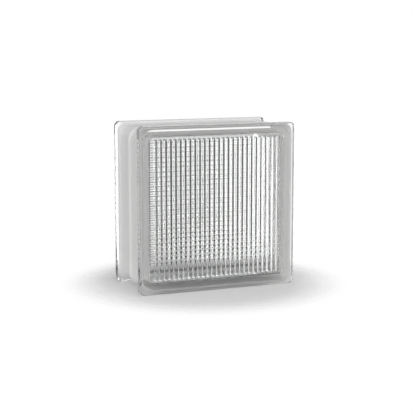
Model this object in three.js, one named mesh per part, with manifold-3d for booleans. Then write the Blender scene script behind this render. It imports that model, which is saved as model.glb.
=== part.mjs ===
// Hollow glass block for walls and screens, of the square kind with a reeded cavity.
// It is pressed as two open trays of clear glass, which are fused rim to rim at mid depth.
// The faces are plain outside. Inside, the front tray's floor carries upright reeds and the
// rear tray's floor carries level reeds, so the two cross when light comes through.
// Both trays have a full-size rim at the face and a recessed waist behind it, which takes the
// mortar, and a small bead stands on the waist where the trays are fused.
//
// Millimetres, +Z up. The front face looks towards -Y, the fused seam is at y = 0, and the
// origin is the middle of the footprint.

import * as THREE from 'three';
import { mergeVertices } from 'three/addons/utils/BufferGeometryUtils.js';
import Module from 'manifold-3d';

// ---- Driving dimensions ----------------------------------------------------------------

const blockWidth = 197;
const blockHeight = 197;
const blockDepth = 98;

const rimWidth = 10;          // along the depth, from the face to the back of the rim
const rimCornerRadius = 6;    // the rim's four corners, seen from the front
const faceEdgeRadius = 2.4;   // between the face and the rim
const rimBackRadius = 1.2;    // between the rim and its back

const waistRecess = 4.6;      // from the rim down to the waist that the mortar keys into
const waistFillet = 3;        // at the foot of the rim's back
const waistCornerRadius = 15; // the waist's four corners, seen from the front

const beadHeight = 2.2;       // the fused seam stands this proud of the waist
const beadHalfWidth = 4.5;

const faceThickness = 6.6;    // of each face, under the reeds
const wallThickness = 4.25;   // of the side walls, at the seam
const cavityDraft = 3.9;      // degrees that the cavity opens towards the seam
const cavityCornerRadius = 9; // the cavity's four corners, at the seam
const cavityFillet = 3.6;     // between the cavity's floor and its walls

const reedFieldWidth = 162;   // across a bank of reeds, which run the length of the floor
const uprightReedCount = 27;
const levelReedCount = 27;
const reedHeight = 1.4;       // crown above groove, and the grooves are level with the floor
const reedEndRun = 2.4;       // length of the slope at the end of each reed
const reedEndGap = 0.4;       // from a reed's end to the edge of the floor

// ---- How finely the curves are cut into facets ------------------------------------------

const cornerDivisions = 4;    // each corner arc gets twice as many facets
const roundingFacets = 4;     // on the small roundings of the profile
const beadFacets = 6;
const grooveFacets = 2;       // from the bottom of a groove to its flank, and as many again
                              // from the flank to the crown

// ---- Values that follow from them ---------------------------------------------------------

const halfDepth = blockDepth / 2;
const quarterTurn = Math.PI / 2;
const waistCavityInset = waistRecess + wallThickness;
const draftRun = Math.tan(THREE.MathUtils.degToRad(cavityDraft));
const reedRoot = 1;           // how far a reed bank reaches down into the floor it is part of
const mouthOverrun = 1;       // how far the cavity's form reaches past the seam before the cut

const glass = new THREE.MeshStandardMaterial({
  name: 'clear_pressed_glass',
  color: 0xdfe6e3,
  roughness: 0.04,
  metalness: 0,
  transparent: true,
  opacity: 0.45,
});

// ---- Sections and profiles ---------------------------------------------------------------

// One section square to the depth axis: a rectangle, set in from the block's outline by
// inset, with round corners. Points run anticlockwise from the right, seen from the front.
function sectionPoints({ inset, corner }) {
  const halfWidth = blockWidth / 2 - inset;
  const halfHeight = blockHeight / 2 - inset;
  return roundedRectangle(halfWidth, halfHeight, corner);
}

function roundedRectangle(halfWidth, halfHeight, corner) {
  const outline = new THREE.Path();
  const centreX = halfWidth - corner;
  const centreZ = halfHeight - corner;
  outline.absarc(centreX, centreZ, corner, 0, quarterTurn);
  outline.absarc(-centreX, centreZ, corner, quarterTurn, 2 * quarterTurn);
  outline.absarc(-centreX, -centreZ, corner, 2 * quarterTurn, 3 * quarterTurn);
  outline.absarc(centreX, -centreZ, corner, 3 * quarterTurn, 4 * quarterTurn);
  return outline.getPoints(cornerDivisions);
}

function rectangle(halfWidth, halfHeight) {
  return [[1, -1], [1, 1], [-1, 1], [-1, -1]].map(
    ([x, z]) => new THREE.Vector2(x * halfWidth, z * halfHeight),
  );
}

// The outside of a tray, from its face (depth 0) to the seam.
function outerStations() {
  const stations = [];
  for (let i = 0; i <= roundingFacets; i++) {
    const turn = quarterTurn * i / roundingFacets;
    const inset = faceEdgeRadius * (1 - Math.sin(turn));
    stations.push({ depth: faceEdgeRadius * (1 - Math.cos(turn)), inset, corner: rimCornerRadius - inset });
  }
  for (let i = 0; i <= roundingFacets; i++) {
    const turn = quarterTurn * i / roundingFacets;
    const inset = rimBackRadius * (1 - Math.cos(turn));
    stations.push({ depth: rimWidth - rimBackRadius * (1 - Math.sin(turn)), inset, corner: waistCorner(inset) });
  }
  for (let i = 0; i <= roundingFacets; i++) {
    const turn = quarterTurn * i / roundingFacets;
    const inset = waistRecess - waistFillet * (1 - Math.sin(turn));
    stations.push({ depth: rimWidth + waistFillet * (1 - Math.cos(turn)), inset, corner: waistCorner(inset) });
  }
  for (let i = 0; i <= beadFacets; i++) {
    const across = i / beadFacets;
    const rise = beadHeight * (1 - Math.cos(Math.PI * across)) / 2;
    stations.push({
      depth: halfDepth - beadHalfWidth * (1 - across),
      inset: waistRecess - rise,
      corner: waistCornerRadius + rise,
    });
  }
  return stations;
}

// The corner radius grows from the rim's to the waist's as the rim's back goes in.
function waistCorner(inset) {
  return THREE.MathUtils.lerp(rimCornerRadius, waistCornerRadius, inset / waistRecess);
}

// The cavity of a tray, from its floor to just past the seam. Its walls lean out by the draft.
function cavityStations() {
  const stations = [];
  for (let i = 0; i <= roundingFacets; i++) {
    const turn = quarterTurn * i / roundingFacets;
    const depth = faceThickness + cavityFillet * (1 - Math.cos(turn));
    stations.push(cavityStation(depth, cavityFillet * (1 - Math.sin(turn))));
  }
  stations.push(cavityStation(halfDepth + mouthOverrun, 0));
  return stations;
}

function cavityStation(depth, filletInset) {
  const taper = (halfDepth - depth) * draftRun;
  return {
    depth,
    inset: waistCavityInset + taper + filletInset,
    corner: cavityCornerRadius - taper - filletInset,
  };
}

// ---- Solids --------------------------------------------------------------------------------

// A closed loft through sections of equal point count, with a flat cap at each end. Depth is
// measured along +Y from the front face, at y = -halfDepth.
function loft(sections) {
  const positions = [];
  const indices = [];
  const count = sections[0].points.length;
  for (const { depth, points } of sections) {
    for (const point of points) {
      positions.push(point.x, depth - halfDepth, point.y);
    }
  }
  for (let level = 0; level + 1 < sections.length; level++) {
    for (let i = 0; i < count; i++) {
      const next = (i + 1) % count;
      const a = level * count + i;
      const b = level * count + next;
      indices.push(a, b + count, b);
      indices.push(a, a + count, b + count);
    }
  }
  const last = (sections.length - 1) * count;
  for (const [a, b, c] of THREE.ShapeUtils.triangulateShape(sections[0].points, [])) {
    indices.push(a, b, c);
  }
  for (const [a, b, c] of THREE.ShapeUtils.triangulateShape(sections.at(-1).points, [])) {
    indices.push(last + a, last + c, last + b);
  }
  return closedGeometry(positions, indices);
}

function closedGeometry(positions, indices) {
  const geometry = new THREE.BufferGeometry();
  geometry.setAttribute('position', new THREE.Float32BufferAttribute(positions, 3));
  geometry.setIndex(indices);
  return geometry;
}

function loftStations(stations) {
  return loft(stations.map((station) => ({ depth: station.depth, points: sectionPoints(station) })));
}

// A bank of reeds that run along Z and lie side by side along X, drawn as one waved outline
// and extruded. Its floor line is at y = faceThickness from the face.
function reedBank(count) {
  const fieldAcross = reedFieldWidth;
  const fieldAlong = 2 * reedReach();
  const pitch = fieldAcross / count;
  const wave = reedWave(pitch);
  const outline = new THREE.Shape();
  outline.moveTo(-fieldAcross / 2, -reedRoot);
  outline.lineTo(fieldAcross / 2, -reedRoot);
  outline.lineTo(fieldAcross / 2, 0);
  for (let reed = 0; reed < count; reed++) {
    const groove = fieldAcross / 2 - pitch * reed;
    for (const { along, height } of wave) {
      outline.lineTo(groove - along, height);
    }
  }
  const bank = new THREE.ExtrudeGeometry(outline, { depth: fieldAlong, bevelEnabled: false });
  bank.translate(0, faceThickness - halfDepth, -fieldAlong / 2);
  return bank;
}

// One reed from groove to groove, without its first point: a round crown between two round
// grooves of the same radius. The arcs meet at the flanks, tilted by the flank angle. A chord
// from the groove's bottom to the crown has half that tilt.
function reedWave(pitch) {
  const flankAngle = 2 * Math.atan(2 * reedHeight / pitch);
  const radius = pitch / 4 / Math.sin(flankAngle);
  const points = [];
  for (let i = 1; i <= grooveFacets; i++) {
    const turn = flankAngle * i / grooveFacets;
    points.push({ along: radius * Math.sin(turn), height: radius * (1 - Math.cos(turn)) });
  }
  for (let i = 1; i <= 2 * grooveFacets; i++) {
    const turn = flankAngle * (1 - i / grooveFacets);
    points.push({
      along: pitch / 2 - radius * Math.sin(turn),
      height: reedHeight - radius * (1 - Math.cos(turn)),
    });
  }
  for (let i = grooveFacets - 1; i >= 0; i--) {
    const turn = flankAngle * i / grooveFacets;
    points.push({ along: pitch - radius * Math.sin(turn), height: radius * (1 - Math.cos(turn)) });
  }
  return points;
}

// From the middle of the cavity floor to the ends of the reeds.
function reedReach() {
  return blockHeight / 2 - cavityStation(faceThickness, cavityFillet).inset - reedEndGap;
}

// The form that trims a reed bank: its top and bottom slope in from floor to crown, so that
// each reed ends in a short ramp.
function reedTrim() {
  const floor = faceThickness;
  const levels = [
    { depth: floor - 2 * reedRoot, inset: 0 },
    { depth: floor, inset: 0 },
    { depth: floor + 2 * reedHeight, inset: 2 * reedEndRun },
  ];
  return loft(levels.map(({ depth, inset }) => ({
    depth,
    points: rectangle(reedFieldWidth / 2 + reedRoot, reedReach() - inset),
  })));
}

const wasm = await Module();
wasm.setup();

function toSolid(geometry) {
  const bare = new THREE.BufferGeometry();
  bare.setAttribute('position', geometry.getAttribute('position'));
  if (geometry.index) bare.setIndex(geometry.index);
  const merged = mergeVertices(bare, 1e-4);
  return new wasm.Manifold(new wasm.Mesh({
    numProp: 3,
    vertProperties: new Float32Array(merged.getAttribute('position').array),
    triVerts: new Uint32Array(merged.index.array),
  }));
}

function toGeometry(solid) {
  const { vertProperties, triVerts } = solid.getMesh();
  const geometry = closedGeometry(vertProperties, Array.from(triVerts));
  geometry.computeVertexNormals();
  return geometry;
}

// One pressed tray, as it lies in the front half of the block, with its reeds turned about
// the depth axis.
function pressedTray(reedCount, turn) {
  const bank = reedBank(reedCount).rotateY(turn);
  const trim = reedTrim().rotateY(turn);
  return toSolid(loftStations(outerStations()))
    .subtract(toSolid(loftStations(cavityStations())))
    .add(toSolid(bank).intersect(toSolid(trim)));
}

// ---- The two halves ------------------------------------------------------------------------

function frontHalf() {
  return pressedTray(uprightReedCount, 0);
}

// The rear tray is the front one turned to face it, with its reeds laid level.
function rearHalf() {
  return pressedTray(levelReedCount, quarterTurn).mirror([0, 1, 0]);
}

function halfMesh(name, solid) {
  const mesh = new THREE.Mesh(toGeometry(solid), glass.clone());
  mesh.name = name;
  mesh.position.z = blockHeight / 2;
  return mesh;
}

const glassBlock = new THREE.Group();
glassBlock.name = 'glass_block';
glassBlock.add(halfMesh('front_half', frontHalf()));
glassBlock.add(halfMesh('rear_half', rearHalf()));

export default glassBlock;
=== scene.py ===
"""Dresses the hollow glass block: clear pressed glass with reeds inside and a coated waist."""

import math

import bpy
import numpy as np
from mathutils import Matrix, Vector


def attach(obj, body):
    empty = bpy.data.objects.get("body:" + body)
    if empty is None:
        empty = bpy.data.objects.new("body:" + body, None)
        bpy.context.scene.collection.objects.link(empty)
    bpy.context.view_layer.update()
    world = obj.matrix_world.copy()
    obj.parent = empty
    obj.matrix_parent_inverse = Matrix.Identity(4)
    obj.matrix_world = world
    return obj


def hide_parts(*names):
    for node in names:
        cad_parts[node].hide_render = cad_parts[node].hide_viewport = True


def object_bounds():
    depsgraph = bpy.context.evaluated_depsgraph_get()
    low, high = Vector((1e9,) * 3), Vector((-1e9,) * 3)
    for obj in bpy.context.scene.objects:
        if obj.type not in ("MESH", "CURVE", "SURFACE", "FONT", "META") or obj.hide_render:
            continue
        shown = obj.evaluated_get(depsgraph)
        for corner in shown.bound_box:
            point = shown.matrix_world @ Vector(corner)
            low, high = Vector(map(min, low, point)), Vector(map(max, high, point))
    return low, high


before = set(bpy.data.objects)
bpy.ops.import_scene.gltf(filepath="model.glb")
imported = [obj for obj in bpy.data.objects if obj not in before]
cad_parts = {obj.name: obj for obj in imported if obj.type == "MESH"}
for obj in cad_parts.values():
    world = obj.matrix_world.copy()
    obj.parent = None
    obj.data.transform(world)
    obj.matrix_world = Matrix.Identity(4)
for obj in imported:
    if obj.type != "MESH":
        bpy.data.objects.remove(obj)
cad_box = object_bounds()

bl_info = {
    "name": "Hollow Glass Block",
    "version": (1, 0, 0),
    "blender": (4, 5, 0),
    "location": "3D View > Sidebar > Glass Block",
    "description": "Builds a fused, cross reeded glass block and the studio around it",
    "category": "Add Mesh",
}

MM = 0.001
CLEAR, COATED = 0, 1  # material slots of the glass

# Steps along each part of the surface
ROUNDING_STEPS = 10  # a quarter circle between the face, the rim and the waist
BEAD_STEPS = 12  # from the bead's foot to the seam
CORNER_STEPS = 16  # each of the outside's four corners
REED_STEPS = 4  # from a reed's groove to its flank
RAMP_STEPS = 6  # the slope at a reed's end
MIDDLE_STEPS = 8  # along a reed, from slope to slope
FILLET_STEPS = 6  # round the cavity's floor
WALL_STEPS = 3  # up the cavity's wall
SEAM_STRIP = 1.0 * MM  # of each wall, left for the triangles that join the halves

GLASS_BOUNCES = 32  # light through the reeds and back
MIRROR_BOUNCES = 16
CAMERA_REACH = 50.0  # metres

block_low, block_high = (np.array(corner, float) for corner in cad_box)
block_size = block_high - block_low


# ---- Settings --------------------------------------------------------------------------------


def length(name, description, millimetres):
    """A length that a user may change, given in millimetres and kept in metres."""
    return bpy.props.FloatProperty(
        name=name, description=description, default=millimetres * MM, min=0.0, unit="LENGTH",
        precision=5,
    )


def count(name, description, default):
    """A whole number that a user may change."""
    return bpy.props.IntProperty(name=name, description=description, default=default, min=1)


def share(name, description, default, top=1.0):
    """A plain number from 0 to top."""
    return bpy.props.FloatProperty(
        name=name, description=description, default=default, min=0.0, max=top, precision=4
    )


def colour(name, description, default):
    """A colour in linear light."""
    return bpy.props.FloatVectorProperty(
        name=name, description=description, default=default, size=3, min=0.0, max=1.0,
        subtype="COLOR",
    )


class GlassBlockSizes(bpy.types.PropertyGroup):
    """Sizes of the pressed halves. The overall size comes from the parts in model.glb."""

    rim_width: length("Rim width", "From the face to the back of the rim", 10.0)
    rim_corner: length("Rim corner", "Radius of the rim's four corners", 6.0)
    face_edge: length("Face edge", "Rounding between the face and the rim", 2.4)
    rim_back: length("Rim back", "Rounding between the rim and its back", 1.2)
    waist_recess: length("Waist recess", "From the rim down to the waist", 4.6)
    waist_fillet: length("Waist fillet", "Radius at the foot of the rim's back", 3.0)
    waist_corner: length("Waist corner", "Radius of the waist's four corners", 15.0)
    coating_start: length("Coating start", "Bare glass from the rim down to the coating", 2.0)
    bead_height: length("Bead height", "How proud the fused seam stands", 2.2)
    bead_half_width: length("Bead half width", "From the seam to the bead's foot", 4.5)
    face_thickness: length("Face thickness", "Glass under the reeds", 6.6)
    wall_thickness: length("Wall thickness", "Side wall at the seam", 4.25)
    cavity_draft: share("Cavity draft", "Degrees that the cavity opens towards the seam", 3.9, 30.0)
    cavity_corner: length("Cavity corner", "Radius of the cavity's corners at the seam", 9.0)
    cavity_fillet: length("Cavity fillet", "Between the cavity's floor and its walls", 3.6)
    reed_field: length("Reed field", "Width of each bank of reeds", 162.0)
    reed_height: length("Reed height", "Crown above the groove", 1.4)
    reed_roundness: share("Reed roundness", "The crown's share of both radii, crown and groove", 0.5)
    reed_end_run: length("Reed end run", "Length of the ramp at a reed's end", 2.4)
    upright_reeds: count("Upright reeds", "Reeds behind the front face", 27)
    level_reeds: count("Level reeds", "Reeds behind the rear face", 27)


class GlassBlockFinish(bpy.types.PropertyGroup):
    """Colours and finish of the glass and of the coating on the waist."""

    glass_ior: share("Refractive index", "Of soda lime glass", 1.52, 3.0)
    glass_tint: colour("Glass tint", "Colour of light that crosses a surface twice", (0.985, 0.99, 0.987))
    glass_roughness: share("Glass roughness", "Fire polished glass is close to 0", 0.0)
    coating: colour("Coating", "Colour of the film on the waist", (0.9, 0.9, 0.895))
    coating_roughness: share("Coating roughness", "A satin film", 0.45)
    coating_glow: share("Coating glow", "Share of the light that the film lets through", 0.35)


class GlassBlockStage(bpy.types.PropertyGroup):
    """The camera and the plain studio."""

    lens: share("Lens", "Focal length in millimetres for a 36 mm sensor", 98.65, 300.0)
    camera_yaw: share("Camera yaw", "Degrees that the camera looks to the right", 21.856, 90.0)
    camera_pitch: share("Camera pitch", "Degrees that the camera looks down", 8.727, 90.0)
    camera_place: bpy.props.FloatVectorProperty(
        name="Camera place", description="Where the camera stands", size=3, unit="LENGTH",
        default=(-503.839 * MM, -1263.022 * MM, 302.598 * MM),
    )
    floor: colour("Floor", "Colour of the floor", (0.85, 0.85, 0.85))
    floor_fade: length("Floor fade", "From the block's middle to where the floor starts to fade", 100.0)
    floor_reach: length("Floor reach", "From the block's middle to the floor's end", 180.0)
    dim: share("Dim", "Brightness of the studio between its panels", 0.2, 10.0)
    soft_edge: share("Soft edge", "Degrees from a panel's edge to full light or none", 2.5, 30.0)


# The studio's panels: name, middle azimuth, middle elevation, half width and half height in
# degrees, and brightness, where 1 shows white. Azimuth 0 is behind the block, 90 to its right.
STUDIO = (
    ("pale ground", 0.0, -65.0, 200.0, 30.0, 0.6),
    ("pale wall in front and at both sides", 180.0, -5.0, 118.0, 30.0, 0.4),
    ("white backdrop", 22.0, -9.0, 13.5, 15.0, 1.0),
    ("dark card left of the backdrop", -10.5, -11.0, 19.0, 25.0, 0.01),
    ("dark card over the backdrop", 0.0, 15.5, 30.0, 9.5, 0.01),
    ("bright wall behind, right", 57.0, -3.0, 21.0, 9.0, 6.0),
    ("soft box, right", 105.0, 7.0, 15.0, 7.0, 5.0),
    ("soft wall, left", -105.0, 20.0, 45.0, 20.0, 2.2),
    ("soft box in front, above", 165.0, 42.5, 45.0, 17.5, 2.0),
    ("soft box behind, above", 15.0, 32.5, 15.0, 7.5, 2.3),
)


# ---- Surfaces worked out as arrays -----------------------------------------------------------


def arc(start, end, steps):
    """Angles in radians, evenly spaced from start to end."""
    return np.linspace(start, end, steps + 1)


def outer_profile(sizes):
    """The outside of one half from face to seam, as rows of depth, inset, corner radius and
    their rates of change along the profile.

    Each rounding is a quarter circle. The corner radius shrinks with the inset on the face's
    edge, grows evenly with the inset from the rim to the waist, and grows with the bead. The
    bead is half a cosine wave.
    """
    turn = arc(0.0, math.pi / 2, ROUNDING_STEPS)
    rows = []

    edge = sizes.face_edge
    inset = edge * (1 - np.sin(turn))
    rows.append(np.stack([
        edge * (1 - np.cos(turn)), inset, sizes.rim_corner - inset,
        edge * np.sin(turn), -edge * np.cos(turn), edge * np.cos(turn),
    ], 1))

    grow = (sizes.waist_corner - sizes.rim_corner) / sizes.waist_recess
    back = sizes.rim_back
    inset = back * (1 - np.cos(turn))
    rows.append(np.stack([
        sizes.rim_width - back * (1 - np.sin(turn)), inset, sizes.rim_corner + grow * inset,
        back * np.cos(turn), back * np.sin(turn), grow * back * np.sin(turn),
    ], 1))

    foot = sizes.waist_fillet
    inset = sizes.waist_recess - foot * (1 - np.sin(turn))
    rows.append(np.stack([
        sizes.rim_width + foot * (1 - np.cos(turn)), inset, sizes.rim_corner + grow * inset,
        foot * np.sin(turn), foot * np.cos(turn), grow * foot * np.cos(turn),
    ], 1))

    across = np.linspace(0, 1, BEAD_STEPS + 1)
    half_depth = block_size[1] / 2
    rise = sizes.bead_height * (1 - np.cos(math.pi * across)) / 2
    slope = sizes.bead_height * math.pi * np.sin(math.pi * across) / 2
    rows.append(np.stack([
        half_depth - sizes.bead_half_width * (1 - across), sizes.waist_recess - rise,
        sizes.waist_corner + rise, np.full(across.shape, sizes.bead_half_width), -slope, slope,
    ], 1))
    return np.concatenate(rows)


def ring_angles(steps):
    """Angles round a ring with round corners, and the signs of each point's corner."""
    turn = arc(0.0, math.pi / 2, steps)
    angles = np.concatenate([turn + quarter * math.pi / 2 for quarter in range(4)])
    signs_x = np.repeat([1.0, -1.0, -1.0, 1.0], steps + 1)
    signs_z = np.repeat([1.0, 1.0, -1.0, -1.0], steps + 1)
    return angles, signs_x, signs_z


def outer_shell(sizes):
    """The whole outside of the fused block: vertices, normals, quads and slot of each quad.

    Every profile row gives a rectangle with round corners, set in from the outline. A point is
    its corner's centre plus the radius times its direction. The normal is the cross product of
    the ring's direction and the profile's direction there.
    """
    front = outer_profile(sizes)
    rear = front[-2::-1].copy()
    rear[:, 0] = block_size[1] - rear[:, 0]
    rear[:, 4:] = -rear[:, 4:]
    profile = np.concatenate([front, rear])
    depth, inset, corner, d_depth, d_inset, d_corner = (profile[:, [i]] for i in range(6))

    angles, sign_x, sign_z = ring_angles(CORNER_STEPS)
    cos, sin = np.cos(angles), np.sin(angles)
    half_x, half_z = block_size[0] / 2, block_size[2] / 2
    x = sign_x * (half_x - inset - corner) + corner * cos
    z = sign_z * (half_z - inset - corner) + corner * sin
    y = np.broadcast_to(depth - block_size[1] / 2, x.shape)
    dx = -sign_x * (d_inset + d_corner) + d_corner * cos
    dz = -sign_z * (d_inset + d_corner) + d_corner * sin
    along = np.stack([dx, np.broadcast_to(d_depth, x.shape), dz], 2)
    around = np.stack([-sin, 0 * sin, cos], 1)[None]
    normals = np.cross(along, np.broadcast_to(around, along.shape))
    normals /= np.linalg.norm(normals, axis=2, keepdims=True)
    points = np.stack([x, y, z + block_size[2] / 2], 2)

    rows, columns = x.shape
    quads = grid_quads(rows, columns, closed=True)
    middle = (profile[:-1, 1] + profile[1:, 1]) / 2
    coated = np.repeat(middle > sizes.coating_start, columns)
    return points.reshape(-1, 3), normals.reshape(-1, 3), quads, coated, (rows, columns)


def grid_quads(rows, columns, closed=False):
    """Corners of every quad of a grid of points, row by row."""
    last = columns if closed else columns - 1
    row, column = np.meshgrid(np.arange(rows - 1), np.arange(last), indexing="ij")
    right = (column + 1) % columns
    quads = np.stack([
        row * columns + column, row * columns + right,
        (row + 1) * columns + right, (row + 1) * columns + column,
    ], 2)
    return quads.reshape(-1, 4)


def reed_wave(sizes, reeds):
    """Places, heights and slopes across a bank of reeds.

    A reed is a round crown between two round grooves, arcs that meet at a flank angle. Half
    that angle has a tangent of the height over half the pitch.
    """
    field = sizes.reed_field
    pitch = field / reeds
    flank = 2 * math.atan(2 * sizes.reed_height / pitch)
    radii = pitch / 2 / math.sin(flank)
    crown = radii * sizes.reed_roundness
    groove = radii - crown
    turn_in = arc(0.0, flank, REED_STEPS)[:-1]
    turn_over = arc(flank, -flank, 2 * REED_STEPS)
    turn_out = arc(-flank, 0.0, REED_STEPS)[1:-1]
    place = np.concatenate([
        groove * np.sin(turn_in), pitch / 2 - crown * np.sin(turn_over),
        pitch + groove * np.sin(turn_out),
    ])
    height = np.concatenate([
        groove * (1 - np.cos(turn_in)),
        sizes.reed_height - crown * (1 - np.cos(turn_over)),
        groove * (1 - np.cos(turn_out)),
    ])
    slope = np.tan(np.concatenate([turn_in, turn_over, turn_out]))
    starts = -field / 2 + pitch * np.arange(reeds)[:, None]
    places = (starts + place[None]).ravel()
    return (
        np.append(places, field / 2),
        np.append(np.tile(height, reeds), 0.0),
        np.append(np.tile(slope, reeds), 0.0),
    )


def cavity_floor(sizes, reeds, half_across, half_along, corner):
    """One reeded floor on a grid, in the plane of across and along, with its height.

    Columns follow the reeds exactly. Rows run from one end of the floor to the other, bent
    round its corners, and crowd on the ramps at the reeds' ends. The ramp is a smooth step.
    """
    across, height, slope = reed_wave(sizes, reeds)
    across = np.concatenate([[-half_across], across, [half_across]])
    height = np.concatenate([[0.0], height, [0.0]])
    slope = np.concatenate([[0.0], slope, [0.0]])

    core = half_across - corner
    into_corner = np.clip(np.abs(across) - core, 0.0, corner)
    reach = half_along - corner + np.sqrt(corner ** 2 - into_corner ** 2)

    ends = sizes.reed_end_run * np.linspace(0, 1, RAMP_STEPS + 1)
    middle = np.linspace(-1, 1, MIDDLE_STEPS + 1)[1:-1, None] * (reach - ends[-1])
    along = np.concatenate([
        -reach + ends[:, None], middle, (reach - ends[:, None])[::-1],
    ])
    from_end = reach - np.abs(along)
    t = np.clip(from_end / sizes.reed_end_run, 0.0, 1.0)
    rise = t * t * (3 - 2 * t)
    rate = -np.sign(along) * 6 * t * (1 - t) / sizes.reed_end_run
    grid_across = np.broadcast_to(across, along.shape)
    return grid_across, along, height * rise, slope * rise, height * rate


def cavity_half(sizes, reeds, upright, side):
    """The inside of one half: floor, fillet and wall up to the seam's strip.

    side is -1 for the front half and +1 for the rear one. The wall is carried along the
    floor's outline: each point goes straight out from the outline's core rectangle.
    """
    draft = math.radians(sizes.cavity_draft)
    half_depth = block_size[1] / 2
    wall_run = half_depth - sizes.face_thickness
    waist_cavity = sizes.waist_recess + sizes.wall_thickness
    fillet = sizes.cavity_fillet

    # the fillet is tangent to the floor and to the leaning wall
    turn = arc(0.0, math.pi / 2 - draft, FILLET_STEPS)
    fillet_out = fillet * np.sin(turn)
    fillet_up = fillet * (1 - np.cos(turn))
    wall_up = np.linspace(fillet_up[-1], wall_run - SEAM_STRIP, WALL_STEPS + 1)[1:]
    wall_out = fillet_out[-1] + (wall_up - fillet_up[-1]) * math.tan(draft)
    mouth_out = fillet_out[-1] + (wall_run - fillet_up[-1]) * math.tan(draft)
    floor_half_x = block_size[0] / 2 - waist_cavity - mouth_out
    floor_half_z = block_size[2] / 2 - waist_cavity - mouth_out
    floor_corner = sizes.cavity_corner - mouth_out

    half_across, half_along = (
        (floor_half_x, floor_half_z) if upright else (floor_half_z, floor_half_x)
    )
    across, along, height, d_across, d_along = cavity_floor(
        sizes, reeds, half_across, half_along, floor_corner
    )
    if upright:
        x, z, dx, dz = across, along, d_across, d_along
    else:
        x, z, dx, dz = along, across, d_along, d_across
    y = side * (wall_run - height)
    points = np.stack([x, y, z], 2)
    normals = np.stack([-dx, np.full(x.shape, -float(side)), -dz], 2)
    normals /= np.linalg.norm(normals, axis=2, keepdims=True)

    rows, columns = x.shape
    index = np.arange(rows * columns).reshape(rows, columns)
    loop = np.concatenate([index[0, :-1], index[:-1, -1], index[-1, :0:-1], index[:0:-1, 0]])
    edge = points.reshape(-1, 3)[loop][:, [0, 2]]
    core = np.array([floor_half_x - floor_corner, floor_half_z - floor_corner])
    centre = np.clip(edge, -core, core)
    outwards = edge - centre
    outwards /= np.linalg.norm(outwards, axis=1, keepdims=True)

    out = np.concatenate([fillet_out[1:], wall_out])[:, None, None]
    up = np.concatenate([fillet_up[1:], wall_up])
    lean = np.concatenate([turn[1:], np.full(WALL_STEPS, turn[-1])])[:, None, None]
    ring = centre[None] + outwards[None] * (floor_corner + out)
    wall_y = np.broadcast_to(side * (wall_run - up)[:, None], ring.shape[:2])
    wall = np.stack([ring[..., 0], wall_y, ring[..., 1]], 2)
    flat = -outwards[None] * np.sin(lean)
    wall_normal_y = np.broadcast_to(-side * np.cos(lean)[..., 0], ring.shape[:2])
    wall_normals = np.stack([flat[..., 0], wall_normal_y, flat[..., 1]], 2)

    levels, around = ring.shape[:2]
    first = rows * columns
    wall_index = first + np.arange(levels * around).reshape(levels, around)
    strips = np.concatenate([loop[None], wall_index])
    nxt = np.roll(strips, -1, axis=1)
    wall_quads = np.stack([strips[:-1], nxt[:-1], nxt[1:], strips[1:]], 2).reshape(-1, 4)
    floor_quads = grid_quads(rows, columns)
    all_points = np.concatenate([points.reshape(-1, 3), wall.reshape(-1, 3)])
    all_points[:, 2] += block_size[2] / 2
    all_normals = np.concatenate([normals.reshape(-1, 3), wall_normals.reshape(-1, 3)])
    # the grid runs one way or the other, so each part is turned to agree with its normals
    floor_quads = face_along(all_points, all_normals, floor_quads)
    wall_quads = face_along(all_points, all_normals, wall_quads)
    return all_points, all_normals, np.concatenate([floor_quads, wall_quads]), wall_index[-1]


def face_along(points, normals, faces):
    """Turns a set of like faces over if the first one faces against its normals."""
    a, b, c = (points[faces[:, i]] for i in range(3))
    facing = np.einsum("ij,ij->i", np.cross(b - a, c - a), normals[faces[:, 0]])
    return faces if facing.sum() > 0 else faces[:, ::-1]


def zip_rings(points, ring_a, ring_b):
    """Triangles between two closed rings with different numbers of points.

    Both rings are measured round from the same corner. Every edge of a ring gets a triangle to
    the point that the other ring has reached by the middle of that edge.
    """
    def middles(ring):
        place = points[ring][:, [0, 2]]
        step = np.linalg.norm(np.roll(place, -1, axis=0) - place, axis=1)
        ends = np.cumsum(step) / step.sum()
        return ends - step / step.sum() / 2

    middle_a, middle_b = middles(ring_a), middles(ring_b)
    at_b = np.searchsorted(middle_b, middle_a, side="left") % len(ring_b)
    at_a = np.searchsorted(middle_a, middle_b, side="right") % len(ring_a)
    from_a = np.stack([ring_a, np.roll(ring_a, -1), ring_b[at_b]], 1)
    from_b = np.stack([np.roll(ring_b, -1), ring_b, ring_a[at_a]], 1)
    return np.concatenate([from_a, from_b])


def turn_ring(points, ring, way):
    """The ring started at its point nearest the lower left corner, run the given way round."""
    place = points[ring][:, [0, 2]]
    area = np.cross(place, np.roll(place, -1, axis=0)).sum()
    if (area > 0) != (way > 0):
        ring = ring[::-1]
        place = place[::-1]
    bearing = np.arctan2(place[:, 1] - block_size[2] / 2, place[:, 0])
    start = np.argmin(np.abs(bearing + 3 * math.pi / 4))
    return np.roll(ring, -start)


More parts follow.
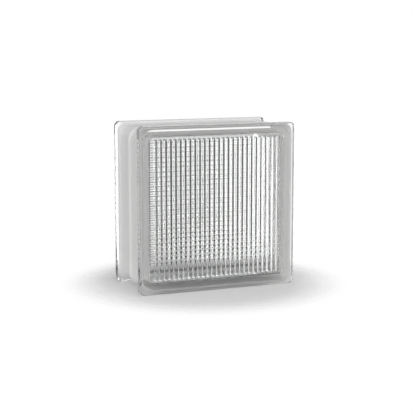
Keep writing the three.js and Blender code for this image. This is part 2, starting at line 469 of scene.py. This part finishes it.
def fused_block(sizes):
    """Vertices, normals, polygons and slots of the whole block: one closed outside and, in it,
    one closed cavity whose faces look into the hollow.
    """
    outer_points, outer_normals, outer_quads, coated, (rows, columns) = outer_shell(sizes)
    outer_quads = face_along(outer_points, outer_normals, outer_quads)
    front_ring = np.arange(columns)
    rear_ring = (rows - 1) * columns + np.arange(columns)

    front_points, front_normals, front_quads, front_mouth = cavity_half(
        sizes, sizes.upright_reeds, True, -1
    )
    rear_points, rear_normals, rear_quads, rear_mouth = cavity_half(
        sizes, sizes.level_reeds, False, 1
    )
    offset_front = len(outer_points)
    offset_rear = offset_front + len(front_points)
    points = np.concatenate([outer_points, front_points, rear_points])
    normals = np.concatenate([outer_normals, front_normals, rear_normals])
    quads = np.concatenate([outer_quads, front_quads + offset_front, rear_quads + offset_rear])

    mouth_front = turn_ring(points, front_mouth + offset_front, 1)
    mouth_rear = turn_ring(points, rear_mouth + offset_rear, 1)
    seam = zip_rings(points, mouth_front, mouth_rear)
    seam = face_along(points, normals, seam)

    polygons = quads.tolist() + seam.tolist()
    for cap, facing in ((front_ring, -1), (rear_ring[::-1], 1)):
        from_first = points[cap] - points[cap[0]]
        area = np.cross(from_first, np.roll(points[cap], -1, axis=0) - points[cap[0]]).sum(0)
        polygons.append((cap if area[1] * facing > 0 else cap[::-1]).tolist())
    slots = np.full(len(polygons), CLEAR)
    slots[:len(outer_quads)] = np.where(coated, COATED, CLEAR)
    return points, normals, polygons, slots


def mesh_object(name, points, normals, polygons, slots, materials):
    """A mesh object at the origin with exact surface normals."""
    mesh = bpy.data.meshes.new(name)
    mesh.from_pydata(points.tolist(), [], polygons)
    for material in materials:
        mesh.materials.append(material)
    mesh.polygons.foreach_set("material_index", slots.astype(np.int32))
    mesh.polygons.foreach_set("use_smooth", np.ones(len(mesh.polygons), bool))
    mesh.update()
    mesh.normals_split_custom_set_from_vertices(normals.tolist())
    piece = bpy.data.objects.new(name, mesh)
    bpy.context.scene.collection.objects.link(piece)
    return piece


# ---- Materials -------------------------------------------------------------------------------


def clear_glass(finish):
    """Clear pressed glass."""
    material = bpy.data.materials.new("clear_pressed_glass")
    material.use_nodes = True
    shader = material.node_tree.nodes["Principled BSDF"]
    shader.inputs["Base Color"].default_value = (*finish.glass_tint, 1.0)
    shader.inputs["Roughness"].default_value = finish.glass_roughness
    shader.inputs["IOR"].default_value = finish.glass_ior
    shader.inputs["Transmission Weight"].default_value = 1.0
    return material


def waist_coating(finish):
    """The pale film on the waist, which mortar sticks to."""
    material = bpy.data.materials.new("waist_coating")
    material.use_nodes = True
    nodes, links = material.node_tree.nodes, material.node_tree.links
    shader = nodes["Principled BSDF"]
    shader.inputs["Base Color"].default_value = (*finish.coating, 1.0)
    shader.inputs["Roughness"].default_value = finish.coating_roughness
    glow = nodes.new("ShaderNodeBsdfTranslucent")
    glow.inputs["Color"].default_value = (*finish.coating, 1.0)
    mix = nodes.new("ShaderNodeMixShader")
    mix.inputs[0].default_value = finish.coating_glow
    links.new(shader.outputs[0], mix.inputs[1])
    links.new(glow.outputs[0], mix.inputs[2])
    links.new(mix.outputs[0], nodes["Material Output"].inputs["Surface"])
    return material


# ---- Studio ----------------------------------------------------------------------------------


def add_camera(scene, stage):
    """The camera, looking slightly down on the front from the left."""
    data = bpy.data.cameras.new("camera")
    data.lens = stage.lens
    data.clip_end = CAMERA_REACH
    camera = bpy.data.objects.new("camera", data)
    camera.location = stage.camera_place
    camera.rotation_euler = (
        math.radians(90 - stage.camera_pitch), 0.0, -math.radians(stage.camera_yaw),
    )
    scene.collection.objects.link(camera)
    scene.camera = camera


def add_world(scene, stage):
    """The studio round the block: each panel of STUDIO is laid over the ones before it."""
    world = bpy.data.worlds.new("studio")
    world.use_nodes = True
    scene.world = world
    nodes, links = world.node_tree.nodes, world.node_tree.links
    background = nodes["Background"]
    background.inputs["Color"].default_value = (1.0, 1.0, 1.0, 1.0)
    direction = nodes.new("ShaderNodeTexCoord").outputs["Generated"]
    height = nodes.new("ShaderNodeSeparateXYZ")
    links.new(direction, height.inputs[0])
    elevation = calculate(nodes, links, "ARCSINE", height.outputs["Z"])

    light = stage.dim
    for name, azimuth, middle, half_width, half_height, brightness in STUDIO:
        turn = math.radians(azimuth)
        ahead = along_axis(nodes, links, direction, (math.sin(turn), math.cos(turn), 0.0))
        aside = along_axis(nodes, links, direction, (math.cos(turn), -math.sin(turn), 0.0))
        sideways = calculate(nodes, links, "ARCTAN2", aside, ahead)
        upwards = calculate(nodes, links, "SUBTRACT", elevation, math.radians(middle))
        width = within(nodes, links, sideways, half_width, stage.soft_edge)
        rise = within(nodes, links, upwards, half_height, stage.soft_edge)
        panel = calculate(nodes, links, "MULTIPLY", width, rise)
        panel.node.label = name
        mix = nodes.new("ShaderNodeMix")
        links.new(panel, mix.inputs["Factor"])
        plug(links, light, mix.inputs["A"])
        mix.inputs["B"].default_value = brightness
        light = mix.outputs["Result"]
    links.new(light, background.inputs["Strength"])


def plug(links, value, socket):
    """Links an output to a socket, or writes a plain number on it."""
    if isinstance(value, bpy.types.NodeSocket):
        links.new(value, socket)
    else:
        socket.default_value = value


def calculate(nodes, links, operation, *values):
    """A Math node's output."""
    node = nodes.new("ShaderNodeMath")
    node.operation = operation
    for value, socket in zip(values, node.inputs):
        plug(links, value, socket)
    return node.outputs[0]


def along_axis(nodes, links, vector, axis):
    """How far a vector reaches along an axis."""
    node = nodes.new("ShaderNodeVectorMath")
    node.operation = "DOT_PRODUCT"
    links.new(vector, node.inputs[0])
    node.inputs[1].default_value = axis
    return node.outputs["Value"]


def within(nodes, links, angle, half, soft):
    """1 where an angle is inside half degrees either way, falling to 0 over a soft edge."""
    size = calculate(nodes, links, "ABSOLUTE", angle)
    edge = nodes.new("ShaderNodeMapRange")
    edge.interpolation_type = "SMOOTHSTEP"
    links.new(size, edge.inputs["Value"])
    edge.inputs["From Min"].default_value = math.radians(half + soft)
    edge.inputs["From Max"].default_value = math.radians(half - soft)
    return edge.outputs["Result"]


def add_floor(stage):
    """A plain pale floor, which fades into the studio round the block."""
    reach = stage.floor_reach
    mesh = bpy.data.meshes.new("floor")
    corners = [(-reach, -reach, 0), (reach, -reach, 0), (reach, reach, 0), (-reach, reach, 0)]
    mesh.from_pydata(corners, [], [(0, 1, 2, 3)])
    material = bpy.data.materials.new("floor")
    material.use_nodes = True
    nodes, links = material.node_tree.nodes, material.node_tree.links
    shader = nodes["Principled BSDF"]
    shader.inputs["Base Color"].default_value = (*stage.floor, 1.0)
    shader.inputs["Roughness"].default_value = 1.0
    distance = nodes.new("ShaderNodeVectorMath")
    distance.operation = "LENGTH"
    links.new(nodes.new("ShaderNodeTexCoord").outputs["Object"], distance.inputs[0])
    fade = nodes.new("ShaderNodeMapRange")
    fade.interpolation_type = "SMOOTHSTEP"
    links.new(distance.outputs["Value"], fade.inputs["Value"])
    fade.inputs["From Min"].default_value = stage.floor_fade
    fade.inputs["From Max"].default_value = reach
    mix = nodes.new("ShaderNodeMixShader")
    links.new(fade.outputs["Result"], mix.inputs[0])
    links.new(shader.outputs[0], mix.inputs[1])
    links.new(nodes.new("ShaderNodeBsdfTransparent").outputs[0], mix.inputs[2])
    links.new(mix.outputs[0], nodes["Material Output"].inputs["Surface"])
    mesh.materials.append(material)
    floor = bpy.data.objects.new("floor", mesh)
    bpy.context.scene.collection.objects.link(floor)


# ---- Operators -------------------------------------------------------------------------------


class GLASSBLOCK_OT_fused_halves(bpy.types.Operator):
    """Build the two pressed halves, fused at their seam, with reeds inside"""

    bl_idname = "glassblock.fused_halves"
    bl_label = "Fused Halves"
    bl_options = {"REGISTER", "UNDO"}

    def execute(self, context):
        sizes = context.scene.glass_block_sizes
        finish = context.scene.glass_block_finish
        points, normals, polygons, slots = fused_block(sizes)
        materials = [clear_glass(finish), waist_coating(finish)]
        piece = mesh_object("fused_halves", points, normals, polygons, slots, materials)
        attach(piece, "root")
        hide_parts("front_half", "rear_half")
        return {"FINISHED"}


class GLASSBLOCK_OT_stage(bpy.types.Operator):
    """Set up the camera, the floor and the soft light"""

    bl_idname = "glassblock.stage"
    bl_label = "Studio"
    bl_options = {"REGISTER", "UNDO"}

    def execute(self, context):
        stage = context.scene.glass_block_stage
        scene = context.scene
        scene.view_settings.view_transform = "Standard"
        scene.cycles.max_bounces = GLASS_BOUNCES
        scene.cycles.transmission_bounces = GLASS_BOUNCES
        scene.cycles.glossy_bounces = MIRROR_BOUNCES
        add_camera(scene, stage)
        add_world(scene, stage)
        add_floor(stage)
        return {"FINISHED"}


class GLASSBLOCK_PT_panel(bpy.types.Panel):
    """Lists the pieces and their settings"""

    bl_idname = "GLASSBLOCK_PT_panel"
    bl_label = "Glass Block"
    bl_space_type = "VIEW_3D"
    bl_region_type = "UI"
    bl_category = "Glass Block"

    def draw(self, context):
        layout = self.layout
        scene = context.scene
        for settings in (scene.glass_block_sizes, scene.glass_block_finish, scene.glass_block_stage):
            box = layout.box()
            for name in settings.__annotations__:
                box.prop(settings, name)
        for operator in OPERATORS:
            layout.operator(operator.bl_idname)


OPERATORS = (GLASSBLOCK_OT_stage, GLASSBLOCK_OT_fused_halves)
CLASSES = (GlassBlockSizes, GlassBlockFinish, GlassBlockStage, *OPERATORS, GLASSBLOCK_PT_panel)


def register():
    for cls in CLASSES:
        bpy.utils.register_class(cls)
    bpy.types.Scene.glass_block_sizes = bpy.props.PointerProperty(type=GlassBlockSizes)
    bpy.types.Scene.glass_block_finish = bpy.props.PointerProperty(type=GlassBlockFinish)
    bpy.types.Scene.glass_block_stage = bpy.props.PointerProperty(type=GlassBlockStage)


def unregister():
    del bpy.types.Scene.glass_block_stage
    del bpy.types.Scene.glass_block_finish
    del bpy.types.Scene.glass_block_sizes
    for cls in reversed(CLASSES):
        bpy.utils.unregister_class(cls)


def main():
    """Registers the add-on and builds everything."""
    register()
    bpy.ops.glassblock.stage()
    bpy.ops.glassblock.fused_halves()


if __name__ == "__main__":
    main()
